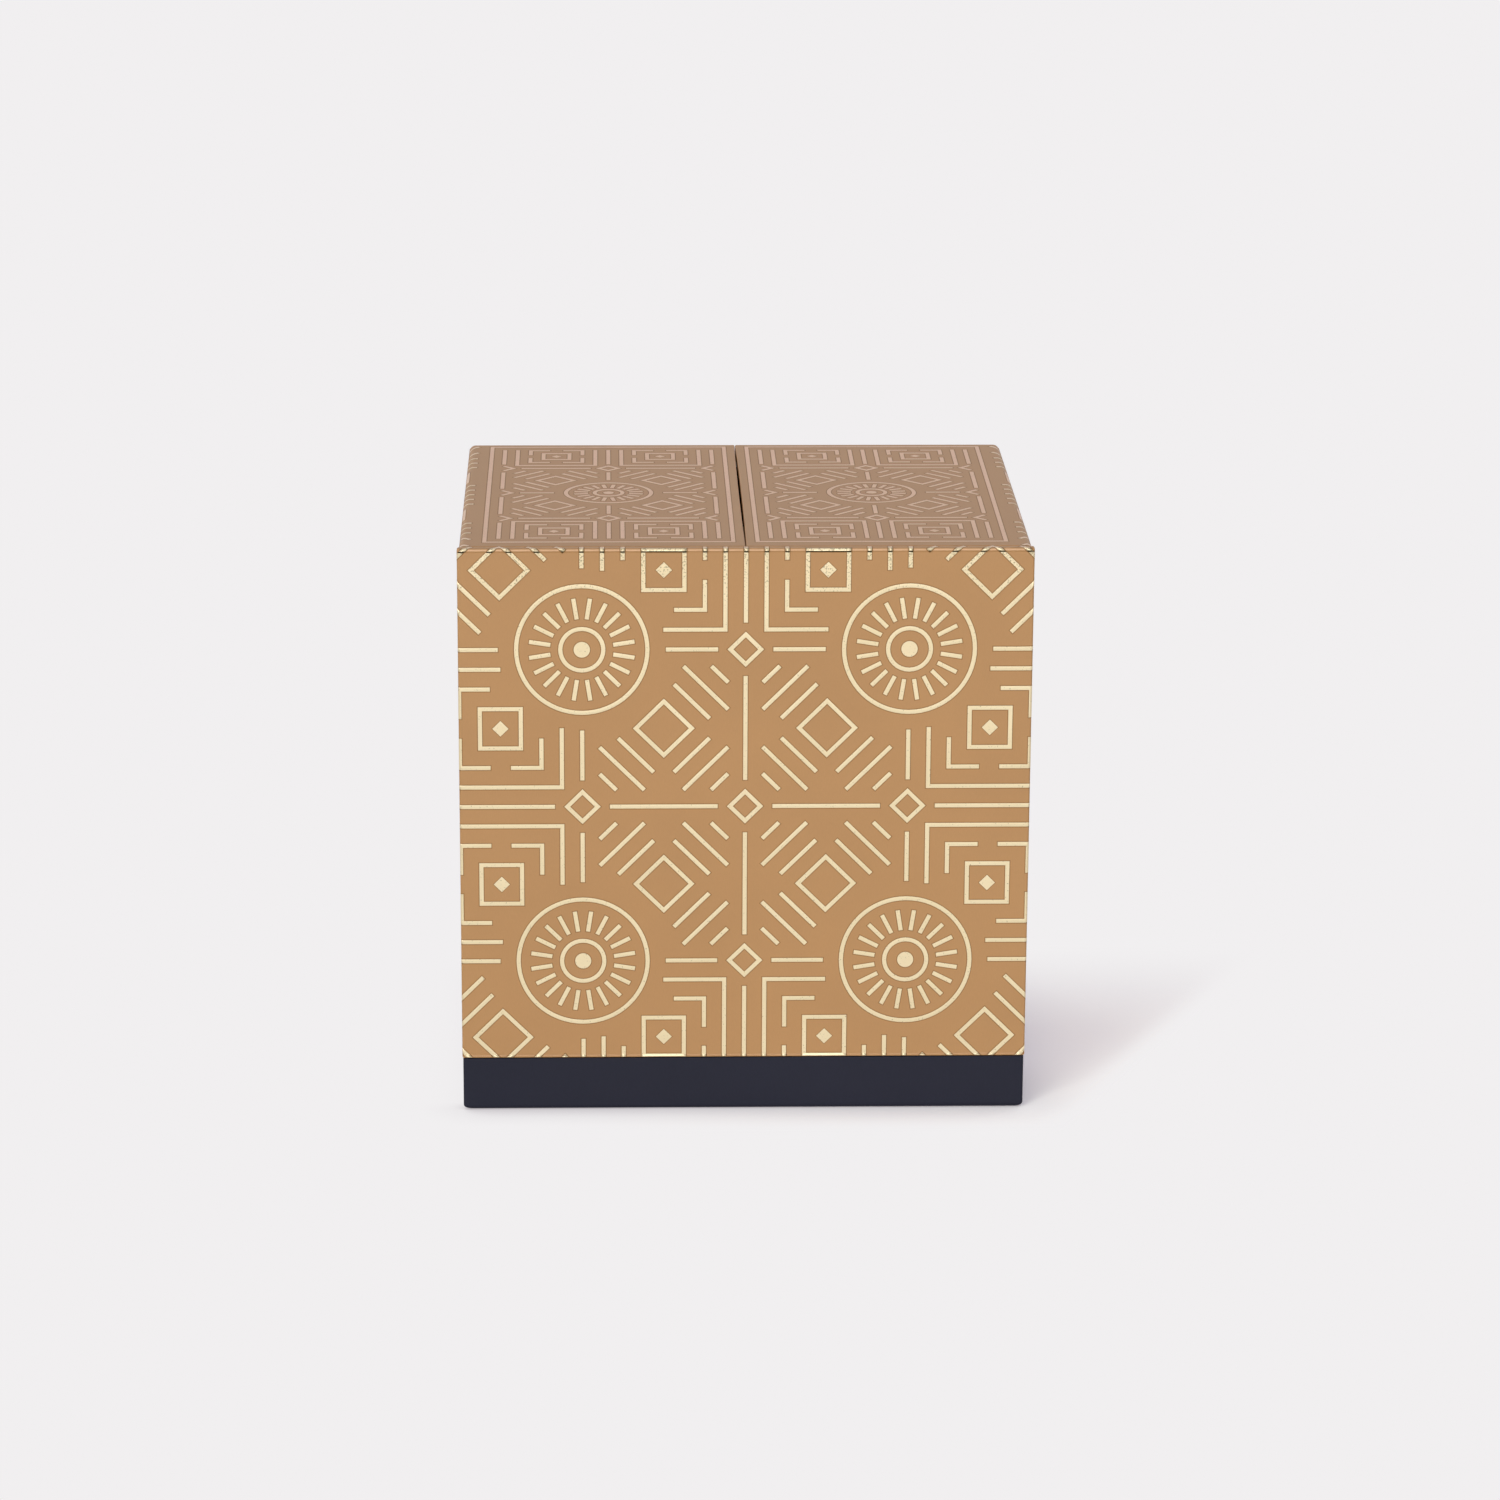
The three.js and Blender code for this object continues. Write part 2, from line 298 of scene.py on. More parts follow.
def surface(nodes, links, shader, dullness, middle, spread):
    """Roughness that a pattern moves up and down round a middle value."""
    dull = ramp(nodes, links, dullness,
                [(NOISE_LOW, middle - spread), (NOISE_HIGH, middle + spread)])
    links.new(dull, shader.inputs["Roughness"])


def tooth(nodes, links, shader, height, strength, distance):
    """Fine relief in millimetres."""
    bump = node(nodes, "ShaderNodeBump", Strength=strength, Distance=distance * MM)
    links.new(height, bump.inputs["Height"])
    links.new(bump.outputs["Normal"], shader.inputs["Normal"])


def fade(nodes, links, value, start, end, low=0.0, high=1.0):
    """Smooth step from a low value at one place to a high one at another."""
    step = node(nodes, "ShaderNodeMapRange", interpolation_type="SMOOTHSTEP")
    step.inputs["To Min"].default_value = low
    step.inputs["To Max"].default_value = high
    step.inputs["From Min"].default_value = start
    step.inputs["From Max"].default_value = end
    links.new(value, step.inputs["Value"])
    return step.outputs["Result"]


def shade(colour, factor):
    return tuple(min(1.0, c * factor) for c in colour)


def wrap_paper(name, colour, spread, roughness, specular, bump):
    """Coated wrap paper: soft mottling, fine fibres and a faint tooth."""
    material, nodes, links, shader = new_material(name)
    coords = node(nodes, "ShaderNodeTexCoord").outputs["Object"]
    cloud = noise(nodes, links, coords, PAPER_CLOUD, detail=3, rough=0.5)
    fibre = noise(nodes, links, coords, PAPER_FIBRE, detail=3, rough=0.6, stretch=FIBRE_STRETCH)
    grain = noise(nodes, links, coords, PAPER_GRAIN, detail=2, rough=0.6)

    mottle = ramp(nodes, links, cloud, [(NOISE_LOW, shade(colour, 1 - spread)),
                                        (NOISE_HIGH, shade(colour, 1 + spread))])
    fleck = ramp(nodes, links, fibre, [(NOISE_LOW, shade(WHITE, 1 - FLECK_DEPTH * spread)),
                                       (FLECK_HIGH, WHITE)])
    links.new(multiplied(nodes, links, mottle, fleck), shader.inputs["Base Color"])
    surface(nodes, links, shader, grain, middle=roughness, spread=0.06)
    tooth(nodes, links, shader, fibre, strength=bump, distance=0.03)
    shader.inputs["Specular IOR Level"].default_value = specular
    return material


def foil(name, low, high, specks_from=None):
    """Hot-stamped foil with specks of painted dark reflection, thicker towards the top fold."""
    material, nodes, links, shader = new_material(name)
    coords = node(nodes, "ShaderNodeTexCoord").outputs["Object"]
    cloud = noise(nodes, links, coords, FOIL_CLOUD, detail=3, rough=0.5)
    speck = noise(nodes, links, coords, FOIL_SPECK, detail=3, rough=0.65)
    dark_speck = noise(nodes, links, coords, FOIL_REFLECTION_SPECK, detail=2, rough=0.5)
    tint = ramp(nodes, links, cloud, [(NOISE_LOW, low), (NOISE_HIGH, high)])
    if specks_from:
        place = node(nodes, "ShaderNodeSeparateXYZ")
        links.new(coords, place.inputs[0])
        towards_fold = fade(nodes, links, place.outputs["Z"], specks_from * MM, TOP * MM, 0, DARK_SPECK_GROWTH)
        dark_speck = maths(nodes, links, "SUBTRACT", dark_speck, towards_fold)
    speck_shade = ramp(nodes, links, dark_speck, [(DARK_SPECK_LOW, DARK_SPECK_TINT), (DARK_SPECK_HIGH, WHITE)])
    links.new(multiplied(nodes, links, tint, speck_shade), shader.inputs["Base Color"])
    surface(nodes, links, shader, speck, middle=0.42, spread=0.08)
    tooth(nodes, links, shader, speck, strength=0.25, distance=0.04)
    shader.inputs["Metallic"].default_value = FOIL_METALLIC
    shader.inputs["Specular Tint"].default_value = FOIL_GLANCE
    return material


def metal(name, colour, roughness, stretch):
    """Bare metal whose streaks run along the axis with the smallest stretch."""
    material, nodes, links, shader = new_material(name)
    coords = node(nodes, "ShaderNodeTexCoord").outputs["Object"]
    streak = noise(nodes, links, coords, METAL_STREAK, detail=3, rough=0.6, stretch=stretch)
    tint = ramp(nodes, links, streak, [(NOISE_LOW, shade(colour, 0.75)), (NOISE_HIGH, colour)])
    links.new(tint, shader.inputs["Base Color"])
    surface(nodes, links, shader, streak, middle=roughness, spread=0.07)
    shader.inputs["Metallic"].default_value = 1
    return material


TAN = wrap_paper("tan_wrap", (0.484, 0.254, 0.101),
                 spread=0.025, roughness=0.46, specular=0.5, bump=0.25)
# Painted highlight: paper paler than the tan so that the top fold reads as lit; it is also glossier
FOLD_HIGHLIGHT_PAPER = wrap_paper("painted_fold_light", (0.67, 0.38, 0.19),
                  spread=0.04, roughness=0.36, specular=0.6, bump=0.3)
# Painted dark reflection on the foil just below the top fold
FOIL_DARK_REFLECTION = wrap_paper("foil_painted_dark_reflection", (0.045, 0.03, 0.012),
                   spread=0.1, roughness=0.7, specular=0.2, bump=0.4)
# Painted shade: a darker paper round each foil stroke where it is pressed in
GROOVE_SHADE_PAPER = wrap_paper("pressed_wrap_painted_shade", (0.33, 0.17, 0.062),
                     spread=0.03, roughness=0.55, specular=0.4, bump=0.25)
NAVY = wrap_paper("navy_wrap", (0.0125, 0.0133, 0.0265),
                  spread=0.06, roughness=0.62, specular=0.22, bump=0.35)
LINER = wrap_paper("liner_paper", (0.014, 0.0145, 0.025),
                   spread=0.08, roughness=0.72, specular=0.2, bump=0.4)
TRAY = wrap_paper("tray_paper", (0.017, 0.0175, 0.031),
                  spread=0.07, roughness=0.66, specular=0.22, bump=0.4)
CARD = wrap_paper("insert_card", (0.56, 0.36, 0.17),
                  spread=0.03, roughness=0.42, specular=0.5, bump=0.2)
FOIL_TINTS = ((0.751, 0.632, 0.397), (0.79, 0.67, 0.435))
WALL_FOIL = foil("gold_foil", *FOIL_TINTS, DARK_SPECKS_FROM)
LEAF_FOIL = foil("leaf_foil", *FOIL_TINTS)
# Painted reflection: the leaf tops get a darker, rosier copy of the same foil
TOP_FOIL_DARKENED = foil("top_foil_painted_reflection", (0.715, 0.55, 0.335), (0.75, 0.582, 0.367))
STEEL = metal("tinned_steel", (0.5, 0.51, 0.54), roughness=0.36, stretch=(0.03, 1, 1))
NICKEL = metal("nickel", (0.66, 0.66, 0.65), roughness=0.24, stretch=(1, 1, 1))


# Meshes
def make(name, points, faces, material, body=None):
    """A closed mesh from points in millimetres, riding on a body."""
    mesh = bpy.data.meshes.new(name)
    mesh.from_pydata([[c * MM for c in p] for p in points], [], faces)
    work = bmesh.new()
    work.from_mesh(mesh)
    bmesh.ops.recalc_face_normals(work, faces=work.faces)
    work.to_mesh(mesh)
    work.free()
    mesh.materials.append(material)
    mesh.shade_smooth()
    made = bpy.data.objects.new(name, mesh)
    bpy.context.scene.collection.objects.link(made)
    keep_flat(made)
    if body:
        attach(made, body)
    return made


def keep_flat(made):
    """Shades large faces flat and keeps the roundings between them smooth."""
    normals = made.modifiers.new("flat_faces", "WEIGHTED_NORMAL")
    normals.weight = FLAT_WEIGHT
    normals.keep_sharp = False


def loft(name, loops, material, body=None):
    """A skin through loops of equal length, closed at both ends."""
    count = len(loops[0])
    faces = []
    for a in range(len(loops) - 1):
        for i in range(count):
            j = (i + 1) % count
            faces.append((a * count + i, a * count + j, (a + 1) * count + j,
                          (a + 1) * count + i))
    last = (len(loops) - 1) * count
    faces += [tuple(reversed(range(count))), tuple(last + i for i in range(count))]
    points = [p for loop in loops for p in loop]
    return make(name, points, faces, material, body)


def quarter_turn(steps):
    """Angles from 0 to 90 degrees."""
    return [math.radians(90 * k / steps) for k in range(steps + 1)]


def rounded(u0, u1, v0, v1, radii, inset=0.0, steps=CORNER_TURN):
    """Rectangle with four rounded corners, from the high-u low-v corner anticlockwise."""
    corners = ((u1, v0, 1, -1, -90), (u1, v1, 1, 1, 0), (u0, v1, -1, 1, 90), (u0, v0, -1, -1, 180))
    points = []
    for (u, v, du, dv, start), radius in zip(corners, radii):
        r = max(radius - inset, LEAST_RADIUS)
        for k in range(steps + 1):
            a = math.radians(start + 90 * k / steps)
            points.append((u - du * (inset + r) + r * math.cos(a),
                           v - dv * (inset + r) + r * math.sin(a)))
    return points


def ring(cx, cy, radius, steps):
    return [(cx + radius * math.cos(2 * math.pi * k / steps),
             cy + radius * math.sin(2 * math.pi * k / steps)) for k in range(steps)]


def round_ends(t0, t1, radius):
    """Stations along a board and how far its outline is drawn in at each."""
    turns = quarter_turn(END_TURN)
    start = [(t0 + radius * (1 - math.sin(a)), radius * (1 - math.cos(a))) for a in turns[::-1]]
    end = [(t1 - radius * (1 - math.sin(a)), radius * (1 - math.cos(a))) for a in turns]
    return start, end


# Front panel: the wrap stands a little proud where it folds over the top and the foot
def panel_face(inset=0.0):
    """The face from foot to rim as (way along, depth, height, normal's angle)."""
    foot, top = max(PANEL_FOOT - inset, LEAST_FOLD), max(PANEL_FOLD - inset, LEAST_FOLD)
    low, high = WALL_BOTTOM + inset + foot, TOP - inset - top
    front = FRONT + inset
    steep = math.atan(PANEL_SUNK * math.pi / 2 / PANEL_EASE)

    def eased(height, t):
        """Point t of the way from a fold's bead to the sunk face, without its angle."""
        return height, front + PANEL_SUNK * (1 - math.cos(math.pi * t)) / 2, height

    path = []
    for a in quarter_turn(FOOT_TURN)[::-1]:
        path.append((low - foot * a, front + foot * (1 - math.cos(a)), low - foot * math.sin(a), -a))
    for k in range(1, EASE_STEPS + 1):
        t = k / EASE_STEPS
        path.append((*eased(low + PANEL_EASE * t, t), steep * math.sin(math.pi * t)))
    for k in range(EASE_STEPS + 1):
        t = 1 - k / EASE_STEPS
        path.append((*eased(high - PANEL_EASE * t, t), -steep * math.sin(math.pi * t)))
    for a in quarter_turn(FOLD_TURN)[1:]:
        path.append((high + top * a, front + top * (1 - math.cos(a)), high + top * math.sin(a), a))
    return path


def panel_section(inset):
    radii = (PANEL_BACK_FOOT, PANEL_BACK_RIM, PANEL_BACK_FOOT, PANEL_BACK_FOOT)
    back = rounded(PANEL_LOW[1], PANEL_HIGH[1], PANEL_LOW[2], TOP, radii, inset)
    return [(y, z) for _, y, z, _ in reversed(panel_face(inset))] + back[:len(back) // 2]


start, end = round_ends(-HALF_WIDTH, HALF_WIDTH, PANEL_END)
panel = loft("front_panel_board", [[(x, y, z) for y, z in panel_section(inset)]
                                   for x, inset in start + end], TAN, "case")
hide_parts("front_panel")


# Side and rear walls: one board folded round three sides under one sheet of paper
def wall_plan(inset):
    """Plan of the folded board, from the right front end round the rear to the left."""
    x0, x1 = SIDE_LOW[0] + inset, SIDE_FACE - inset
    y0, y1 = PANEL_HIGH[1] + WALL_JOINT + inset, REAR - inset
    inner = REAR_LOW[1] + inset
    r = REAR_CORNER - inset
    right = [(x0, inner), (x0, y0), (x1 - WALL_BEVEL, y0), (x1, y0 + WALL_BEVEL)]
    right += [(x1 - r + r * math.cos(a), y1 - r + r * math.sin(a))
              for a in quarter_turn(FOLD_TURN)]
    return right + [(-x, y) for x, y in reversed(right)]


levels = [(WALL_BOTTOM, WALL_EDGE), (WALL_BOTTOM + WALL_EDGE_HALF, WALL_EDGE_HALF),
          (WALL_BOTTOM + WALL_EDGE, 0), (WALL_TOP - WALL_EDGE, 0),
          (WALL_TOP - WALL_EDGE_HALF, WALL_EDGE_HALF), (WALL_TOP, WALL_EDGE)]
walls = loft("side_and_rear_walls", [[(x, y, z) for x, y in wall_plan(inset)]
                                     for z, inset in levels], TAN, "case")
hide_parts("left_side_panel", "right_side_panel", "rear_panel")


# Leaves
def slit_edge(y):
    """How far from the middle plane a leaf's slit edge is."""
    middle = (LEAF_LOW[1] + LEAF_HIGH[1]) / 2
    half = (LEAF_HIGH[1] - LEAF_LOW[1]) / 2
    t = (y - middle) / half
    return SLIT_AT_ENDS + SLIT_HOLLOW * (1 - t * t)


def leaf(side, name):
    """A leaf's board, drawn from front to rear as (place, inset, drop of the top)."""
    start, _ = round_ends(LEAF_LOW[1], LEAF_HIGH[1], LEAF_EDGE)
    length = LEAF_HIGH[1] - LEAF_LOW[1]
    stations = [(y, inset, 0) for y, inset in start]
    stations += [(LEAF_LOW[1] + length * k / LEAF_STATIONS, 0, 0) for k in range(1, LEAF_STATIONS)]
    for a in quarter_turn(FOLD_TURN):
        stations.append((LEAF_HIGH[1] - LEAF_REAR * (1 - math.sin(a)),
                         LEAF_REAR_IN * (1 - math.cos(a)),
                         (LEAF_REAR - LEAF_REAR_IN) * (1 - math.cos(a))))
    loops = []
    for y, inset, drop in stations:
        fold = min(LEAF_ROUND, TOP - drop - LEAF_UNDER - LEAF_LOWER_EDGE - LEAF_LEAST_FLAT)
        radii = (LEAF_LOWER_EDGE, fold, LEAF_EDGE, LEAF_LOWER_EDGE)
        outline = rounded(slit_edge(y), LEAF_END, LEAF_UNDER, TOP - drop, radii, inset, LEAF_TURN)
        loops.append([(side * x, y, z) for x, z in outline])
    made = loft(f"{name}_leaf_board", loops, TAN, f"{name}_leaf")
    for magnet in ("front", "rear"):
        cut_pocket(made, f"{name}_leaf_{magnet}_magnet")
    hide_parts(f"{name}_leaf")


def cut_pocket(board, magnet):
    """A round hole from the underside that holds a magnet."""
    low, high = edges_of(magnet)
    x, y = (low[0] + high[0]) / 2, (low[1] + high[1]) / 2
    loops = [[(x + u, y + v, z) for u, v in ring(0, 0, POCKET_RADIUS, POCKET_SIDES)]
             for z in (LEAF_UNDER - PAST, LEAF_UNDER + POCKET_DEPTH)]
    cutter = loft("pocket", loops, TAN)
    board.modifiers.clear()
    cut = board.modifiers.new("pocket", "BOOLEAN")
    cut.object = cutter
    cut.operation = "DIFFERENCE"
    cut.solver = "EXACT"
    bpy.context.view_layer.update()
    evaluated = board.evaluated_get(bpy.context.evaluated_depsgraph_get())
    done = bpy.data.meshes.new_from_object(evaluated)
    board.modifiers.clear()
    board.data = done
    keep_flat(board)
    bpy.data.objects.remove(cutter)


leaf(1, "right")
leaf(-1, "left")


# Paper hinges: a strip between the wall's top and the leaf's end
def hinge(side, name):
    gap = LEAF_UNDER - WALL_TOP
    heights = [WALL_TOP - HINGE_ON_WALL]
    heights += [WALL_TOP + gap * k / HINGE_STEPS for k in range(HINGE_STEPS + 1)]
    heights.append(LEAF_UNDER + HINGE_ON_LEAF)
    section = [(HINGE_OUTER, z) for z in heights] + [(HINGE_INNER, z) for z in reversed(heights)]
    loops = [[(side * x, y, z) for x, z in section] for y in (STRIP_LOW[1], HINGE_REAR)]
    made = loft(f"{name}_hinge_paper", loops, TAN)
    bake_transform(made)
    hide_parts(f"{name}_hinge_strip")


hinge(1, "right")
hinge(-1, "left")


# Plinth: a shallow tray with rounded lower edges
def plinth():
    half_x, half_y = PLINTH_HIGH[0] + PLINTH_WRAP, PLINTH_HIGH[1]
    height = PLINTH_HIGH[2]

    def outer(z, inset):
        plan = rounded(-half_x, half_x, -half_y, half_y, (PLINTH_CORNER + inset,) * 4)
        shrink_x, shrink_y = 1 - inset / half_x, 1 - inset / half_y
        return [(x * shrink_x, y * shrink_y, z) for x, y in plan]

    def inner(z):
        plan = rounded(-half_x + PLINTH_BOARD, half_x - PLINTH_BOARD, -half_y + PLINTH_BOARD,
                       half_y - PLINTH_BOARD, (PLINTH_INNER_CORNER,) * 4)
        return [(x, y, z) for x, y in plan]

    loops = [outer(PLINTH_ROUND * (1 - math.sin(a)), PLINTH_ROUND * (1 - math.cos(a)))
             for a in quarter_turn(PLINTH_TURN)[::-1]]
    loops += [outer(height - PLINTH_RIM, 0), outer(height - PLINTH_RIM_HALF, PLINTH_RIM_HALF),
              outer(height, PLINTH_RIM)]
    loops += [inner(height), inner(PLINTH_BOARD)]
    made = loft("plinth_tray", loops, NAVY, "case")
    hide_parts("plinth")


plinth()


# CAD nodes that keep their shape get broken edges and a finish
def dress(name, material, width):
    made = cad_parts[name]
    made.data.materials.clear()
    made.data.materials.append(material)
    weld = made.modifiers.new("weld", "WELD")
    weld.merge_threshold = WELD_WITHIN * MM
    flat = made.modifiers.new("flat", "DECIMATE")
    flat.decimate_type = "DISSOLVE"
    flat.angle_limit = math.radians(FLAT_WITHIN)
    edge = made.modifiers.new("edge", "BEVEL")
    edge.width = width * MM
    edge.segments = BREAK_SEGMENTS
    edge.limit_method = "ANGLE"
    edge.angle_limit = math.radians(BREAK_FROM)
    keep_flat(made)


for side in ("left", "right"):
    dress(f"{side}_neck_liner", LINER, BOARD_BREAK)
    dress(f"{side}_leaf_lining", LINER, LINING_BREAK)
    dress(f"{side}_leaf_front_magnet", NICKEL, MAGNET_BREAK)
    dress(f"{side}_leaf_rear_magnet", NICKEL, MAGNET_BREAK)
for end in ("front", "rear"):
    dress(f"{end}_neck_liner", LINER, BOARD_BREAK)
    dress(f"{end}_catch_block", LINER, BOARD_BREAK)
    dress(f"{end}_catch_plate", STEEL, PLATE_BREAK)
for tier in ("lower", "middle", "upper"):
    dress(f"{tier}_tray", TRAY, BOARD_BREAK)
    dress(f"{tier}_insert", CARD, INSERT_BREAK)


# Foil artwork: a lattice of nested lozenges and squares with sunbursts
def oblong(u0, u1, v0, v1):
    return [(u0, v0), (u1, v0), (u1, v1), (u0, v1)]


def square(cx, cy, half):
    return oblong(cx - half, cx + half, cy - half, cy + half)


def lozenge(cx, cy, half):
    return [(cx + half, cy), (cx, cy + half), (cx - half, cy), (cx, cy - half)]


def runs_of(points, closed, keep):
    """The stretches of a line that keep() leaves, as (points, closed)."""
    line = points + points[:1] if closed else points
    runs, run = [], []

    def limit(inside, outside):
        for _ in range(HALVINGS):
            middle = ((inside[0] + outside[0]) / 2, (inside[1] + outside[1]) / 2)
            if keep(*middle):
                inside = middle
            else:
                outside = middle
        return inside

    broken = False
    for a, b in zip(line, line[1:]):
        steps = max(1, math.ceil(math.dist(a, b) / SAMPLE_STEP))
        samples = [(a[0] + (b[0] - a[0]) * k / steps, a[1] + (b[1] - a[1]) * k / steps)
                   for k in range(steps + 1)]
        for p, q in zip(samples, samples[1:]):
            in_p, in_q = keep(*p), keep(*q)
            if in_p and not run:
                run = [p]
            if in_p and in_q:
                run.append(q)
            elif in_p:
                run.append(limit(p, q))
                runs.append(run)
                run, broken = [], True
            elif in_q:
                run, broken = [limit(q, p), q], True
    if run:
        if closed and not broken:
            return [(tidy(run[:-1], True), True)]
        if closed and runs and keep(*line[0]):
            runs[0] = run[:-1] + runs[0]
        else:
            runs.append(run)
    return [(tidy(r, False), False) for r in runs if length_of(r) > SHORTEST]


def length_of(run):
    return sum(math.dist(a, b) for a, b in zip(run, run[1:]))


def tidy(run, closed):
    """Leaves out the points inside straight stretches."""
    kept = []
    count = len(run)
    for i, b in enumerate(run):
        if not closed and i in (0, count - 1):
            kept.append(b)
            continue
        a, c = run[i - 1], run[(i + 1) % count]
        turn = (b[0] - a[0]) * (c[1] - b[1]) - (b[1] - a[1]) * (c[0] - b[0])
        if abs(turn) > NO_TURN + LEAST_TURN * math.dist(a, b) * math.dist(b, c):
            kept.append(b)
    return kept


def lattice(window, centre, pitch, sun_parity):
    """Lines of the design inside a window (u0, u1, v0, v1) of a face."""
    u0, u1, v0, v1 = window
    cu, cv = centre
    cell = CELL_PITCHES * pitch
    columns = range(math.floor((u0 - cu) / cell) - 1, math.ceil((u1 - cu) / cell) + 2)
    rows = range(math.floor((v0 - cv) / cell) - 1, math.ceil((v1 - cv) / cell) + 2)
    crossings = [(cu + i * cell, cv + j * cell, i % 2 == sun_parity and j % 2 == sun_parity)
                 for i in columns for j in rows]
    reach = SUN_RING * pitch
    suns = [(x, y) for x, y, sun in crossings if sun and u0 <= x - reach and x + reach <= u1
            and v0 <= y - reach and y + reach <= v1]
    lines, dots = [], []

    def add(points, closed, test=None, over_suns=False):
        def keep(u, v):
            return (u0 <= u <= u1 and v0 <= v <= v1 and (test is None or test(u, v))
                    and (over_suns or all(math.hypot(u - a, v - b) >= SUN_CLEAR * pitch
                                          for a, b in suns)))
        lines.extend(runs_of(points, closed, keep))

    for i in columns:
        for j in rows:
            x, y = cu + (i + 0.5) * cell, cv + (j + 0.5) * cell
            mirrored = (i if i >= 0 else -i - 1) + (j if j >= 0 else -j - 1)
            if mirrored % 2 == 0:
                lozenge_cell(add, x, y, pitch)
            else:
                square_cell(add, x, y, pitch)
                dots.append((x, y, DOT * pitch, SQUARE_DOT))
    for x, y, _ in crossings:
        trim = LINE_TRIM * pitch
        add([(x, y + trim), (x, y + cell - trim)], False)
        add([(x + trim, y), (x + cell - trim, y)], False)
        if (x, y) not in suns:
            add(lozenge(x, y, CROSSING_LOZENGE * pitch), True)
    for x, y in suns:
        sunburst(add, x, y, pitch)
        dots.append((x, y, DOT * pitch, ROUND_DOT))
    return lines, [(x, y, r, sides) for x, y, r, sides in dots
                   if u0 + r < x < u1 - r and v0 + r < y < v1 - r]


def lozenge_cell(add, x, y, pitch):
    """Nested lozenges cut off by the cell, with every second one broken at its corners."""
    margin = (CELL_PITCHES / 2 - CELL_MARGIN) * pitch
    for k in range(1, CELL_PITCHES):
        def inside(u, v):
            across, up = abs(u - x), abs(v - y)
            unbroken = k % 2 == 1 or min(across, up) >= BREAK_HALF * pitch
            return max(across, up) <= margin and unbroken
        add(lozenge(x, y, k * LOZENGE_STEP * pitch), True, inside)


def square_cell(add, x, y, pitch):
    """Nested squares, with every second one broken at the middle of its sides."""
    for k in range(1, CELL_PITCHES // 2):
        def inside(u, v):
            return k % 2 == 1 or min(abs(u - x), abs(v - y)) >= BREAK_HALF * pitch
        add(square(x, y, k * pitch), True, inside)


def sunburst(add, x, y, pitch):
    """A ring, a smaller ring and rays between them."""
    add(ring(x, y, SUN_RING * pitch, SUN_RING_SIDES), True, None, True)
    add(ring(x, y, SUN_CORE * pitch, SUN_CORE_SIDES), True, None, True)
    start, end = RAYS_FROM * pitch, RAYS_TO * pitch
    for k in range(RAYS):
        a = 2 * math.pi * (k + 0.5) / RAYS
        c, s = math.cos(a), math.sin(a)
        add([(x + start * c, y + start * s), (x + end * c, y + end * s)], False, None, True)


def ribbons(lines, width):
    """Outlines of the strokes: convex quads in the plane of the face."""
    quads = []
    half = width / 2
    for points, closed in lines:
        if len(points) < 2:
            continue
        count = len(points)
        pairs = []
        for i, p in enumerate(points):
            before = points[i - 1] if closed or i else None
            after = points[(i + 1) % count] if closed or i < count - 1 else None
            normals = []
            for a, b in ((before, p), (p, after)):
                if a is not None and b is not None:
                    d = math.dist(a, b)
                    normals.append((-(b[1] - a[1]) / d, (b[0] - a[0]) / d))
            n = normals[0]
            if len(normals) == 2:
                m = (normals[0][0] + normals[1][0], normals[0][1] + normals[1][1])
                scale = 2 / max(m[0] ** 2 + m[1] ** 2, SHARPEST)
                n = (m[0] * scale, m[1] * scale)
            pairs.append(((p[0] + n[0] * half, p[1] + n[1] * half),
                          (p[0] - n[0] * half, p[1] - n[1] * half)))
        last = count if closed else count - 1
        for i in range(last):
            (l0, r0), (l1, r1) = pairs[i], pairs[(i + 1) % count]
            quads.append([l0, r0, r1, l1])
    return quads


def longer(lines, extra):
    """The same lines with their open ends moved out."""
    out = []
    for points, closed in lines:
        if not closed and len(points) > 1:
            points = list(points)
            for end, near in ((0, 1), (-1, -2)):
                a, b = points[end], points[near]
                d = math.dist(a, b)
                points[end] = (a[0] + (a[0] - b[0]) * extra / d, a[1] + (a[1] - b[1]) * extra / d)
        out.append((points, closed))
    return out


def clip(polygon, axis, limit, keep_low):
    """The part of a convex polygon on one side of an axis-parallel line."""
    out = []
    for a, b in zip(polygon, polygon[1:] + polygon[:1]):
        in_a = a[axis] <= limit if keep_low else a[axis] >= limit
        in_b = b[axis] <= limit if keep_low else b[axis] >= limit
        if in_a:
            out.append(a)
        if in_a != in_b:
            t = (limit - a[axis]) / (b[axis] - a[axis])
            cut = [a[0] + t * (b[0] - a[0]), a[1] + t * (b[1] - a[1])]
            cut[axis] = limit
            out.append(tuple(cut))
    return out


def crop(polygons, axis, limit, keep_low):
    parts = [clip(polygon, axis, limit, keep_low) for polygon in polygons]
    return [part for part in parts if len(part) > 2]


def split(polygons, axis, limits):
    """Cuts the polygons along lines, so that they can bend there."""
    for limit in limits:
        parts = []
        for polygon in polygons:
            values = [p[axis] for p in polygon]
            if min(values) < limit - ON_CUT and max(values) > limit + ON_CUT:
                parts += [clip(polygon, axis, limit, True), clip(polygon, axis, limit, False)]
            else:
                parts.append(polygon)
        polygons = parts
    return polygons


def strokes(design, edge=0.0):
    """Polygons of a design's lines and dots, each grown by an edge."""
    lines, dots = design
    return (ribbons(longer(lines, edge), STROKE + 2 * edge)
            + [ring(x, y, r + edge, sides) for x, y, r, sides in dots])


